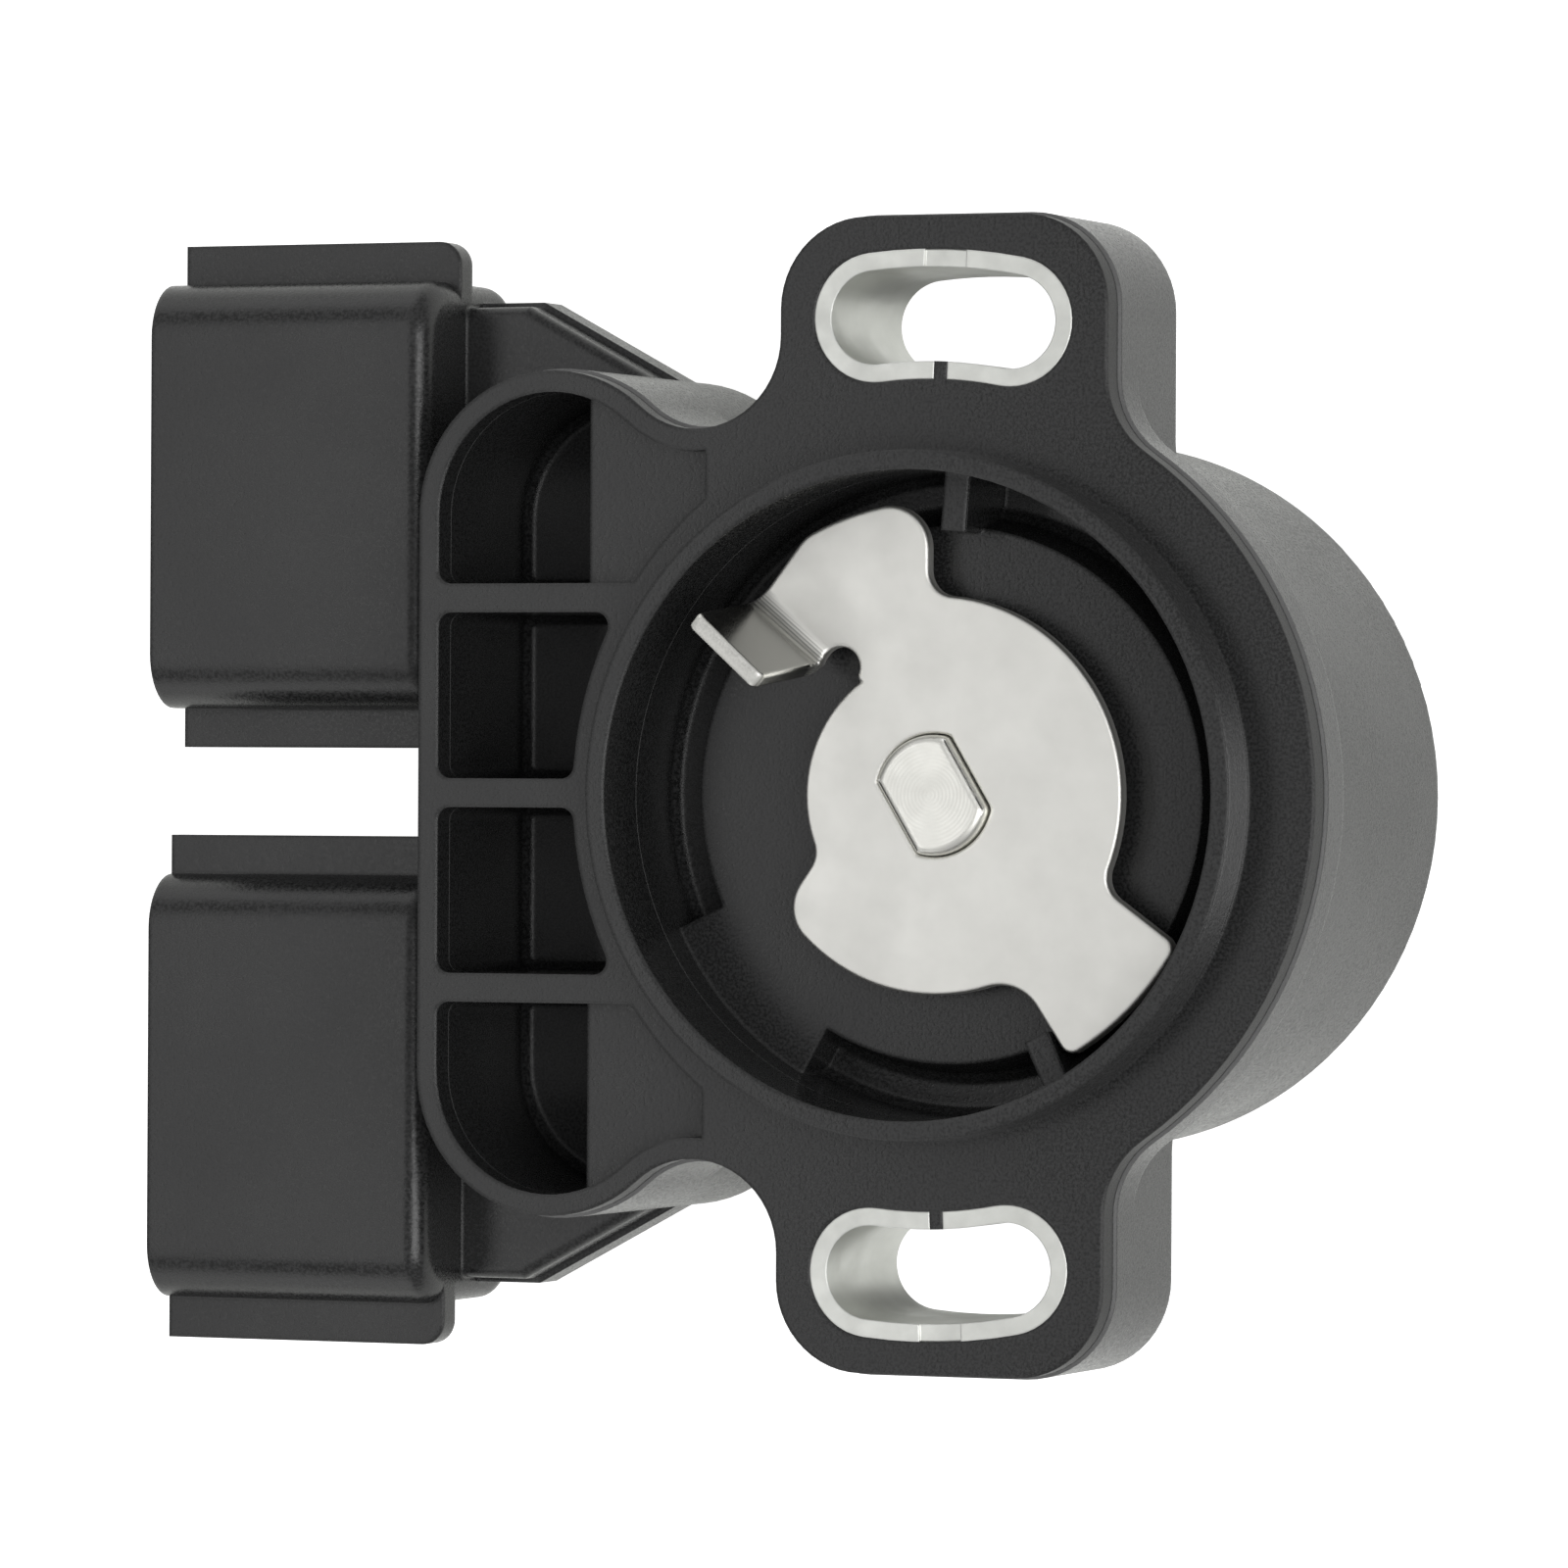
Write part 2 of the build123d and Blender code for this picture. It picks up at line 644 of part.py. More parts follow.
# Lever: stamped plate with two arms and one edge folded up as the drive tab
tab_base = polar(tab_base_radius, tab_base_angle)
tab_root = polar(tab_root_radius, tab_root_angle)
tab_span = Vector(*tab_root) - Vector(*tab_base)
tab_out = Vector(tab_span.Y, -tab_span.X).normalized()
with BuildPart() as lever_plate:
    with BuildSketch(Plane.XY.offset(lever_level)) as stamping:
        with BuildLine():
            waist = CenterArc((0, 0), waist_radius, waist_start, waist_end - waist_start)
            Line(waist @ 1, polar(lever_disc_radius, lobe_angle))
            sole = CenterArc(
                (0, 0), lever_disc_radius, lobe_angle, 360 + tail_low_root - lobe_angle
            )
            Line(sole @ 1, polar(tail_radius, tail_low_angle))
            tail = CenterArc((0, 0), tail_radius, tail_low_angle, tail_high_angle - tail_low_angle)
            Line(tail @ 1, polar(lever_disc_radius, tail_high_root))
            arm_root_angle = degrees(acos(arm_edge / lever_disc_radius))
            arm_tip_angle = degrees(acos(arm_edge / arm_radius))
            cheek_sweep = arm_root_angle - tail_high_root
            cheek = CenterArc((0, 0), lever_disc_radius, tail_high_root, cheek_sweep)
            Line(cheek @ 1, polar(arm_radius, arm_tip_angle))
            arm = CenterArc((0, 0), arm_radius, arm_tip_angle, arm_end_angle - arm_tip_angle)
            Polyline(arm @ 1, tab_base, tab_root, waist @ 0)
        make_face()
        corners = (
            (waist @ 1, lever_blend),
            (sole @ 0, lobe_fillet),
            (sole @ 1, tail_blend),
            (tail @ 0, tail_corner),
            (tail @ 1, tail_corner),
            (cheek @ 0, lever_blend),
            (cheek @ 1, lever_blend),
            (arm @ 0, arm_corner),
            (arm @ 1, arm_corner),
        )
        for corner, radius in corners:
            fillet(stamping.vertices().sort_by_distance(corner)[0], radius=radius)
        add(double_d_plan(neck_radius + neck_fit, neck_flats + 2 * neck_fit, 0), mode=Mode.SUBTRACT)
    extrude(amount=lever_thickness)
    tab_frame = Plane(origin=(*tab_base, lever_top), x_dir=tab_out, z_dir=-tab_span)
    with BuildSketch(tab_frame):
        with BuildLine() as fold:
            seat = Line((-lever_thickness, -lever_thickness / 2), (0, -lever_thickness / 2))
            bend = JernArc(seat @ 1, seat % 1, tab_bend + lever_thickness / 2, 90 - tab_lean)
            rise = tab_height - (bend @ 1).Y
            PolarLine(bend @ 1, rise, 90 - tab_lean, length_mode=LengthMode.VERTICAL)
        trace(fold.edges(), line_width=lever_thickness)
    extrude(amount=-tab_span.length)
    tab_end = faces().sort_by(Axis.Z)[-1]
    fillet(tab_end.edges().group_by(SortBy.LENGTH)[0], radius=tab_corner)
    with BuildSketch(Plane.XY.offset(lever_level)):
        with Locations(polar(relief_reach, relief_angle)):
            Circle(relief_radius)
    extrude(amount=lever_thickness + tab_bend, mode=Mode.SUBTRACT)
lever_plate.part.label = "lever_plate"
export_step(lever_plate.part, "parts/lever_plate.step")

# Spiral spring that returns the lever to its stop, with a tongue in the rotor hub
with BuildPart() as return_spring:
    with BuildSketch(Plane.XY.offset(spring_level)):
        trace(spring_edges, line_width=spring_strip)
    extrude(amount=spring_width)
    with BuildSketch(Plane.XY.offset(spring_level)):
        with Locations((tongue_start, 0)):
            Rectangle(spring_radius - tongue_start, spring_strip, align=(Align.MIN, Align.CENTER))
    extrude(amount=spring_tongue_width)
return_spring.part.label = "return_spring"
export_step(return_spring.part, "parts/return_spring.step")

# Rotor: moulded carrier on the shaft, with a slit for the tongue of the spring
hub_top = clip_level - clip_gap
with BuildPart() as rotor:
    with BuildSketch(Plane.XY.offset(rotor_level)):
        Circle(rotor_radius)
    extrude(amount=rotor_thickness)
    with BuildSketch(Plane.XY.offset(rotor_level)):
        Circle(hub_radius)
    extrude(amount=hub_top - rotor_level)
    with BuildSketch(Plane.XY.offset(hub_top)):
        with Locations((tongue_start - spring_fit, 0)):
            Rectangle(
                hub_radius,
                spring_strip + 2 * spring_fit,
                align=(Align.MIN, Align.CENTER),
            )
    extrude(amount=rotor_top - hub_top, mode=Mode.SUBTRACT)
    with BuildSketch(Plane.XY.offset(rotor_level)):
        Circle(shaft_radius + shaft_fit)
    extrude(amount=hub_top - rotor_level, mode=Mode.SUBTRACT)
rotor.part.label = "rotor"
export_step(rotor.part, "parts/rotor.step")

# Wipers: sprung strips under the rotor, one on each side of the shaft
for wiper_name, turn, wiper_radius in (
    ("track_wiper", 0, wiper_radii[0]),
    ("switch_wiper", 180, wiper_radii[1]),
):
    toe_level = card_top + wiper_clear + wiper_thickness / 2
    wiper_frame = Plane(
        origin=polar(wiper_radius - wiper_width / 2, turn),
        x_dir=polar(1, turn + 90),
        z_dir=polar(1, turn),
    )
    with BuildPart() as wiper:
        with BuildSketch(wiper_frame):
            with BuildLine() as strip:
                Polyline(
                    (-wiper_foot, rotor_level - wiper_thickness / 2),
                    (0, rotor_level - wiper_thickness / 2),
                    (wiper_reach, toe_level),
                    (wiper_reach + wiper_toe, toe_level),
                )
            trace(strip.edges(), line_width=wiper_thickness)
        extrude(amount=wiper_width)
    wiper.part.label = wiper_name
    export_step(wiper.part, f"parts/{wiper_name}.step")

# Track card on its ledge, cover seal behind it and the rear cover
with BuildPart() as track_card:
    with BuildSketch(Plane.XY.offset(card_level)):
        Circle(card_radius - card_fit)
    extrude(amount=card_thickness)
track_card.part.label = "track_card"
export_step(track_card.part, "parts/track_card.step")

with BuildPart() as cover_seal:
    with BuildSketch(Plane.XY.offset(cover_top)):
        Circle(cover_radius - cover_fit)
        Circle(chamber_radius, mode=Mode.SUBTRACT)
    extrude(amount=cover_seal_thickness)
cover_seal.part.label = "cover_seal"
export_step(cover_seal.part, "parts/cover_seal.step")

with BuildPart() as rear_cover:
    with BuildSketch(Plane.XY.offset(rear_level)):
        Circle(cover_radius - cover_fit)
    extrude(amount=cover_thickness)
    with BuildSketch(Plane.XY.offset(rear_level)):
        Circle(cover_radius - cover_dish_rim)
    extrude(amount=cover_dish_depth, mode=Mode.SUBTRACT)
rear_cover.part.label = "rear_cover"
export_step(rear_cover.part, "parts/rear_cover.step")
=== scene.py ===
"""Looks of the throttle position sensor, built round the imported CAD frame. Metres."""

import json
import math

import bpy
from mathutils import Matrix, Vector


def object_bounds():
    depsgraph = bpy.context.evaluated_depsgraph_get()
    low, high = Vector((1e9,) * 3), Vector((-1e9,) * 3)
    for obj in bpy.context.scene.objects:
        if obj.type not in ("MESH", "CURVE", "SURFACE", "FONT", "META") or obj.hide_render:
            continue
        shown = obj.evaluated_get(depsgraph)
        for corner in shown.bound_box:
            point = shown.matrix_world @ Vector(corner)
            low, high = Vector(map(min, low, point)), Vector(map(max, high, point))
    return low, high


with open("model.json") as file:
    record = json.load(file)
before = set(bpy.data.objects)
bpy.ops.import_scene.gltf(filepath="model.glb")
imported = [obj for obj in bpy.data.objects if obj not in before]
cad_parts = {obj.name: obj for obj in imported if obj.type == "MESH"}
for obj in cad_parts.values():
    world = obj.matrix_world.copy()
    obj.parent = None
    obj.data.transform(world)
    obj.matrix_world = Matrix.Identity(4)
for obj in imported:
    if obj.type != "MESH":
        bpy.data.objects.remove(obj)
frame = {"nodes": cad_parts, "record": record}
cad_low, cad_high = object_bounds()
nodes = frame["nodes"]

MM = 0.001
WHITE = (1.0, 1.0, 1.0, 1.0)

# Photograph: its frame, the pixel of the shaft axis in the mounting face, scale and view
FRAME_PX = 1600
ORIGIN_PX = (941.0, 811.5)
PX_PER_M = 18200.0
VIEW_TURN = math.radians(22.3)
VIEW_RISE = math.radians(0.0)
VIEW_ROLL = math.radians(0.3)
CAMERA_DISTANCE = 0.5
SENSOR_MM = 36.0
NEAR_CLIP = 0.01

# Shaded edges: radius for each kind of piece, and the cosines between a flat place and an edge
MOULD_EDGE = 0.36 * MM
LEVER_EDGE = 0.175 * MM
SLEEVE_EDGE = 0.15 * MM
TURNED_EDGE = 0.175 * MM
STRIP_EDGE = 0.1 * MM
SOFT_EDGE = 0.25 * MM
EDGE_BAND = (0.995, 0.8)
EDGE_SAMPLES = 6

# Rounded edges in the mesh of the lever and the shaft
WELD_GAP = 0.001 * MM
FLAT_ANGLE = 0.02
SHARP_ANGLE = 0.7
ROUND_SEGMENTS = 3
LEVER_ROUND = 0.2 * MM
SHAFT_ROUND = 0.2 * MM

# Shared bands: the middle of a noise, and the upright part of a normal on steep metal walls
NOISE_BAND = (0.3, 0.7)
STEEP_BAND = (0.6, 0.3)

# Noises: scale, detail and roughness
CLOUDS = (90.0, 3.0, 0.55)
SPECK = (5600.0, 2.0, 0.6)
COARSE = (2100.0, 2.0, 0.5)
LEVER_GRAIN = (1.0, 3.0, 0.6)
LEVER_MOTTLE = (260.0, 4.0, 0.6)
LEVER_PITS = (6500.0, 2.0, 0.5)
SLEEVE_BLOOM = (420.0, 4.0, 0.6)
SLEEVE_LINES = (1.0, 2.0, 0.5)
TURNED_PATCH = (500.0, 3.0, 0.55)
PATCH_DETAIL = (4.0, 0.6)
SKIN_DETAIL = (2.0, 0.5)
SKIN_FINER = 18
LEVER_STRETCH = (420.0, 5200.0, 900.0)
SLEEVE_STRETCH = (4200.0, 4200.0, 260.0)

# Plastic: flecks, painted highlights on the edges, a painted pale highlight line on the step of the
# flange's rim, the rim's drafted walls, and the gloss
PLASTIC_CAST = -0.01
PLASTIC_GLEAM = 0.42
FLECK_BAND = (0.4, 0.62)
FLECK_SHARE = 0.6
PALE_LIFT = 2.6
PLASTIC_EDGE_HIGHLIGHT = 0.35
COARSE_SHARE = 0.6
RIM_DEPTH = 1.7 * MM
RIM_LINE = 0.03 * MM
RIM_HIGHLIGHT_SHARE = 0.8
RIM_HIGHLIGHT_TONE = 0.18
RIM_BAND = (-RIM_DEPTH, -RIM_DEPTH + 0.1 * MM)
RIM_TILT = 0.25
LIP_BAND = (0.02 * MM, 0.12 * MM)
LIP_TILT = 1.1
WALL_BAND = (0.5, 0.3)
OUTWARD_BAND = (0.0, 8 * MM)
PLASTIC_SWING = (-0.03, 0.05)
FLECK_SWING = (-0.12, 0.12)
EDGE_POLISH = 0.06

# Lever: levels of its top and of the tab's end, and the bands where cut, bend and tab begin and end
LEVER_TOP = -1.75 * MM
TAB_END = 5.33 * MM
CUT_BAND = (LEVER_TOP + 0.15 * MM, LEVER_TOP - 0.05 * MM)
TORN_BAND = (LEVER_TOP - 0.3 * MM, LEVER_TOP - 0.45 * MM)
TAB_BAND = (LEVER_TOP + 0.6 * MM, LEVER_TOP + 1.4 * MM)
BEND_START = (LEVER_TOP + 0.01 * MM, LEVER_TOP + 0.1 * MM)
BEND_END = (LEVER_TOP + 1.3 * MM, LEVER_TOP + 0.7 * MM)
TAB_CUT_BAND = (TAB_END - 0.2 * MM, TAB_END)
TAB_CUT_RISE = (0.85, 0.95)

# Lever: stretch marks of the fold, tones as shares of the steel's own (among them painted shade in
# the fold's creases and a painted dark reflection on the tab), and the gloss
FOLD_ACROSS = (0.643, 0.766)
FOLD_PITCH = 0.16 * MM
CREASE_BAND = (0.1, -0.6)
MOTTLE_TONE = 0.94
TAB_SHADE_SHARE = 0.75
TAB_SHADE_TONE = 0.45
CREASE_SHADE_SHARE = 0.55
CREASE_SHADE_TONE = 0.3
TORN_SHARE = 0.5
TORN_TONE = 0.55
GRIT_BAND = (0.35, 0.65)
GRIT_SHARES = (0.25, 0.8)
GRIT_TONE = 0.6
LEVER_WEAR = 0.3
LEVER_BRIGHT = 0.92
LEVER_BAND = (0.25, 0.75)
LEVER_SWING = (-0.05, 0.06)
TAB_POLISH = 0.5
RAGGED_ROUGH = 0.62
GRAIN_HEIGHT = 0.35
FOLD_HEIGHT = 0.5
LEVER_BUMP = (0.012 * MM, 0.5)

# Sleeves: cloudy plating, painted shade on the walls and bright edges
BLOOM_BAND = (0.35, 0.7)
BLOOM_TONE = 0.88
SLEEVE_WALL_SHADE_SHARE = 0.8
SLEEVE_WALL_SHADE_TONE = 0.68
SLEEVE_WEAR = 0.35
SLEEVE_BRIGHT = 0.93
SLEEVE_BAND = (0.3, 0.75)
SLEEVE_SWING = (-0.06, 0.1)
SLEEVE_BUMP = (0.01 * MM, 0.45)

# Turned pieces
TURNED_TONE = 0.93
TURNED_WEAR = 0.3
TURNED_BRIGHT = 0.92
TURNED_SWING = (-0.05, 0.07)
TURNED_BUMP = (0.004 * MM, 0.25)

# Strips and wires
STRIP_TONE = 0.82
STRIP_WEAR = 0.25
STRIP_BRIGHT = 0.85
STRIP_SWING = (-0.06, 0.08)
STRIP_BUMP = (0.006 * MM, 0.3)

# Rubber, board and natural plastic
SOFT_SWING = (-0.05, 0.08)
SOFT_STRENGTH = 0.4

# Studio: kinds of ray, the floor, the surround and the lamps
CAMERA_RAYS = ("Is Camera Ray",)
GLOSS_RAYS = ("Is Glossy Ray", "Is Transmission Ray")
FLOOR_HALF = 1.5
FLOOR_SEEN = 0.85
FLOOR_GLOSS = 0.4
FLOOR_TONE = 0.8
FLOOR_TINT = (0.98, 1.0, 0.93, 1.0)
SKY_SEEN = 0.38
SKY_LIGHT = 0.5
KEY = {
    "place": (-0.235, 0.0, 0.406),
    "target": (-0.03, 0.0, 0.0),
    "across": 0.55,
    "along": 0.12,
    "power": 0.275,
}
FILL = {
    "place": (0.38, -0.05, 0.5),
    "target": (0.0, 0.0, 0.0),
    "across": 0.4,
    "along": 0.4,
    "power": 2.0,
}
SIDE = {
    "target": (-0.04, 0.0, 0.0),
    "across": 0.4,
    "along": 0.3,
    "power": 0.34,
}
UPPER_PLACE = (-0.28, 0.55, 0.14)
LOWER_PLACE = (-0.28, -0.55, 0.14)


class Graph:
    """A node tree and short ways to add and join its nodes."""

    def __init__(self, tree):
        self.tree = tree

    def add(self, kind, **settings):
        node = self.tree.nodes.new(kind)
        for key, value in settings.items():
            setattr(node, key, value)
        return node

    def join(self, source, target):
        """Link an output to an input, or set the input to a constant."""
        if isinstance(source, (int, float, tuple)):
            target.default_value = source
        else:
            self.tree.links.new(source, target)

    def maths(self, operation, first, second=0.0, third=0.0):
        node = self.add("ShaderNodeMath", operation=operation)
        for value, socket in zip((first, second, third), node.inputs):
            self.join(value, socket)
        return node.outputs["Value"]

    def times(self, first, second):
        return self.maths("MULTIPLY", first, second)

    def spread(self, value, low, high, out_low=0.0, out_high=1.0):
        """Value carried from low to high over to out_low to out_high, and held there."""
        node = self.add("ShaderNodeMapRange")
        self.join(value, node.inputs["Value"])
        self.join(low, node.inputs["From Min"])
        self.join(high, node.inputs["From Max"])
        self.join(out_low, node.inputs["To Min"])
        self.join(out_high, node.inputs["To Max"])
        return node.outputs["Result"]

    def mix(self, amount, first, second, kind="FLOAT"):
        """First turned into second by amount."""
        node = self.add("ShaderNodeMix", data_type=kind)
        self.join(amount, node.inputs["Factor"])
        self.join(first, node.inputs["A"])
        self.join(second, node.inputs["B"])
        return node.outputs["Result"]

    def blend(self, amount, first, second):
        """First colour turned into the second by amount."""
        return self.mix(amount, first, second, "RGBA")

    def ray_share(self, kinds):
        """1 for the named kinds of ray and 0 for the rest."""
        path = self.add("ShaderNodeLightPath")
        share = path.outputs[kinds[0]]
        for kind in kinds[1:]:
            share = self.maths("MAXIMUM", share, path.outputs[kind])
        return share


class Finish(Graph):
    """A material with its shader, and the patterns that the finishes are made of."""

    def __init__(self, name):
        self.material = bpy.data.materials.new(name)
        self.material.use_nodes = True
        super().__init__(self.material.node_tree)
        self.shader = self.tree.nodes["Principled BSDF"]
        self.place = self.add("ShaderNodeTexCoord").outputs["Object"]
        self.normal = self.add("ShaderNodeNewGeometry").outputs["Normal"]
        self.level = self.axis(self.place, "Z")
        self.rise = self.axis(self.normal, "Z")

    def set(self, **values):
        for key, value in values.items():
            self.join(value, self.shader.inputs[key.replace("_", " ")])

    def axis(self, vector, letter):
        node = self.add("ShaderNodeSeparateXYZ")
        self.join(vector, node.inputs["Vector"])
        return node.outputs[letter]

    def flat(self, vector):
        """The two level parts of a vector."""
        return self.axis(vector, "X"), self.axis(vector, "Y")

    def flat_product(self, first, second):
        """Scalar product of two pairs of level parts."""
        return self.maths("ADD", self.times(first[0], second[0]), self.times(first[1], second[1]))

    def wave(self, value, pitch):
        return self.maths("SINE", self.times(value, 2 * math.pi / pitch))

    def stretch(self, scale):
        node = self.add("ShaderNodeMapping")
        self.join(self.place, node.inputs["Vector"])
        self.join(scale, node.inputs["Scale"])
        return node.outputs["Vector"]

    def noise(self, scale, detail, rough, where=None):
        node = self.add("ShaderNodeTexNoise")
        self.join(where or self.place, node.inputs["Vector"])
        self.join(scale, node.inputs["Scale"])
        self.join(detail, node.inputs["Detail"])
        self.join(rough, node.inputs["Roughness"])
        return node.outputs["Fac"]

    def tint(self, base, where, amount, tone):
        """Base turned towards tone by amount at the places that where marks."""
        return self.blend(self.times(where, amount), base, tone)

    def uneven(self, pattern, band, rough, swing):
        """Roughness that swings with a pattern."""
        return self.spread(pattern, *band, rough + swing[0], rough + swing[1])

    def raised(self, normal, lift):
        """Normal turned towards the mounting side by lift."""
        upward = self.add("ShaderNodeCombineXYZ")
        self.join(lift, upward.inputs["Z"])
        total = self.add("ShaderNodeVectorMath", operation="ADD")
        self.join(normal, total.inputs[0])
        self.join(upward.outputs["Vector"], total.inputs[1])
        unit = self.add("ShaderNodeVectorMath", operation="NORMALIZE")
        self.join(total.outputs["Vector"], unit.inputs[0])
        return unit.outputs["Vector"]

    def rounded(self, radius):
        """Normal with soft edges, and how near an edge each point lies."""
        soft = self.add("ShaderNodeBevel", samples=EDGE_SAMPLES)
        self.join(radius, soft.inputs["Radius"])
        turn = self.add("ShaderNodeVectorMath", operation="DOT_PRODUCT")
        self.join(soft.outputs["Normal"], turn.inputs[0])
        self.join(self.normal, turn.inputs[1])
        return soft.outputs["Normal"], self.spread(turn.outputs["Value"], *EDGE_BAND)

    def bump(self, height, depth, strength, normal):
        node = self.add("ShaderNodeBump")
        self.join(height, node.inputs["Height"])
        self.join(depth, node.inputs["Distance"])
        self.join(strength, node.inputs["Strength"])
        self.join(normal, node.inputs["Normal"])
        return node.outputs["Normal"]


def shade(tone, share):
    """A tone made lighter or darker."""
    return tuple(part * share for part in tone[:3]) + (1.0,)


def grey(value, warm=0.0):
    """A grey with a slight warm or cool cast."""
    return (value * (1 + warm), value, value * (1 - warm), 1.0)


def moulded_plastic(name, dark, pale, rough, grain):
    """Filled plastic from a spark-eroded mould: fine grain, cloudy gloss, painted highlights on the
    edges and a painted pale line on the rim's step.
    """
    finish = Finish(name)
    soft_normal, near_edge = finish.rounded(MOULD_EDGE)
    clouds = finish.noise(*CLOUDS)
    speck = finish.noise(*SPECK)
    coarse = finish.noise(*COARSE)

    lifted = pale[1] * PALE_LIFT
    flecks = finish.spread(speck, *FLECK_BAND, 0.0, FLECK_SHARE)
    rim_highlight = finish.maths("COMPARE", finish.level, -RIM_DEPTH, RIM_LINE)
    tone = finish.blend(finish.spread(clouds, *NOISE_BAND), dark, pale)
    tone = finish.blend(flecks, tone, grey(lifted, PLASTIC_CAST))
    # Painted highlight: the edges are lifted towards a pale grey.
    tone = finish.tint(tone, near_edge, PLASTIC_EDGE_HIGHLIGHT, grey(lifted))
    # Painted highlight: a thin band at the depth of the rim's step is painted pale grey, so the
    # step's ledge reads like the lit walls.
    tone = finish.tint(tone, rim_highlight, RIM_HIGHLIGHT_SHARE, grey(RIM_HIGHLIGHT_TONE))

    wall = finish.spread(finish.maths("ABSOLUTE", finish.rise), *WALL_BAND)
    outward = finish.flat_product(finish.flat(finish.place), finish.flat(finish.normal))
    outer_wall = finish.times(wall, finish.spread(outward, *OUTWARD_BAND))
    lip_lift = finish.times(finish.spread(finish.level, *LIP_BAND), LIP_TILT)
    rim_lift = finish.times(finish.spread(finish.level, *RIM_BAND), RIM_TILT)
    lift = finish.maths("ADD", lip_lift, rim_lift)
    drafted = finish.raised(soft_normal, finish.times(outer_wall, lift))

    height = finish.maths("ADD", speck, finish.times(coarse, COARSE_SHARE))
    gloss = finish.uneven(clouds, NOISE_BAND, rough, PLASTIC_SWING)
    gloss = finish.maths("ADD", gloss, finish.spread(speck, *NOISE_BAND, *FLECK_SWING))
    finish.set(
        Base_Color=tone,
        Specular_IOR_Level=PLASTIC_GLEAM,
        Roughness=finish.mix(near_edge, gloss, rough - EDGE_POLISH),
        Normal=finish.bump(height, grain, 1.0, drafted),
    )
    return finish.material


def rolled_steel(name, tone, rough):
    """Satin plated sheet: rolling grain on the faces, sheared bands on the cut edges."""
    finish = Finish(name)
    soft_normal, near_edge = finish.rounded(LEVER_EDGE)
    grain = finish.noise(*LEVER_GRAIN, finish.stretch(LEVER_STRETCH))
    mottle = finish.noise(*LEVER_MOTTLE)
    pits = finish.noise(*LEVER_PITS)

    level = finish.level
    side = finish.spread(finish.maths("ABSOLUTE", finish.rise), *STEEP_BAND)
    cut = finish.times(side, finish.spread(level, *CUT_BAND))
    torn = finish.times(cut, finish.spread(level, *TORN_BAND))
    tab_face = finish.times(finish.spread(level, *TAB_BAND), side)
    bend = finish.times(finish.spread(level, *BEND_START), finish.spread(level, *BEND_END))
    folds = finish.wave(finish.flat_product(finish.flat(finish.place), FOLD_ACROSS), FOLD_PITCH)
    crease_shade = finish.times(bend, finish.spread(folds, *CREASE_BAND))
    end_cut = finish.times(
        finish.spread(level, *TAB_CUT_BAND),
        finish.spread(finish.rise, *TAB_CUT_RISE),
    )
    ragged = finish.maths("MAXIMUM", torn, end_cut)

    grit = finish.spread(pits, *GRIT_BAND, *GRIT_SHARES)
    base = finish.blend(finish.spread(mottle, *NOISE_BAND), tone, shade(tone, MOTTLE_TONE))
    # Painted reflection: the tab's faces are darkened as a painted dark reflection of the bore.
    base = finish.tint(base, tab_face, TAB_SHADE_SHARE, shade(tone, TAB_SHADE_TONE))
    # Painted shade: the valleys between the fold lines on the bend are darkened.
    base = finish.tint(base, crease_shade, CREASE_SHADE_SHARE, shade(tone, CREASE_SHADE_TONE))
    base = finish.tint(base, torn, TORN_SHARE, shade(tone, TORN_TONE))
    base = finish.tint(base, end_cut, grit, shade(tone, GRIT_TONE))
    base = finish.tint(base, near_edge, LEVER_WEAR, grey(LEVER_BRIGHT))

    gloss = finish.uneven(mottle, LEVER_BAND, rough, LEVER_SWING)
    gloss = finish.mix(tab_face, gloss, rough * TAB_POLISH)
    height = finish.mix(ragged, finish.times(grain, GRAIN_HEIGHT), pits)
    height = finish.mix(bend, height, finish.times(folds, FOLD_HEIGHT))
    finish.set(
        Base_Color=base,
        Metallic=1.0,
        Roughness=finish.mix(ragged, gloss, RAGGED_ROUGH),
        Normal=finish.bump(height, *LEVER_BUMP, soft_normal),
    )
    return finish.material


def zinc_steel(name, tone, rough):
    """Zinc-plated rolled strip: cloudy plating, fine draw lines down the walls."""
    finish = Finish(name)
    soft_normal, near_edge = finish.rounded(SLEEVE_EDGE)
    bloom = finish.noise(*SLEEVE_BLOOM)
    lines = finish.noise(*SLEEVE_LINES, finish.stretch(SLEEVE_STRETCH))
    wall = finish.spread(finish.maths("ABSOLUTE", finish.rise), *STEEP_BAND)
    base = finish.blend(finish.spread(bloom, *BLOOM_BAND), tone, shade(tone, BLOOM_TONE))
    # Painted shade: the steep walls are darkened.
    base = finish.tint(base, wall, SLEEVE_WALL_SHADE_SHARE, shade(tone, SLEEVE_WALL_SHADE_TONE))
    base = finish.tint(base, near_edge, SLEEVE_WEAR, grey(SLEEVE_BRIGHT))
    finish.set(
        Base_Color=base,
        Metallic=1.0,
        Roughness=finish.uneven(bloom, SLEEVE_BAND, rough, SLEEVE_SWING),
        Normal=finish.bump(lines, *SLEEVE_BUMP, soft_normal),
    )
    return finish.material


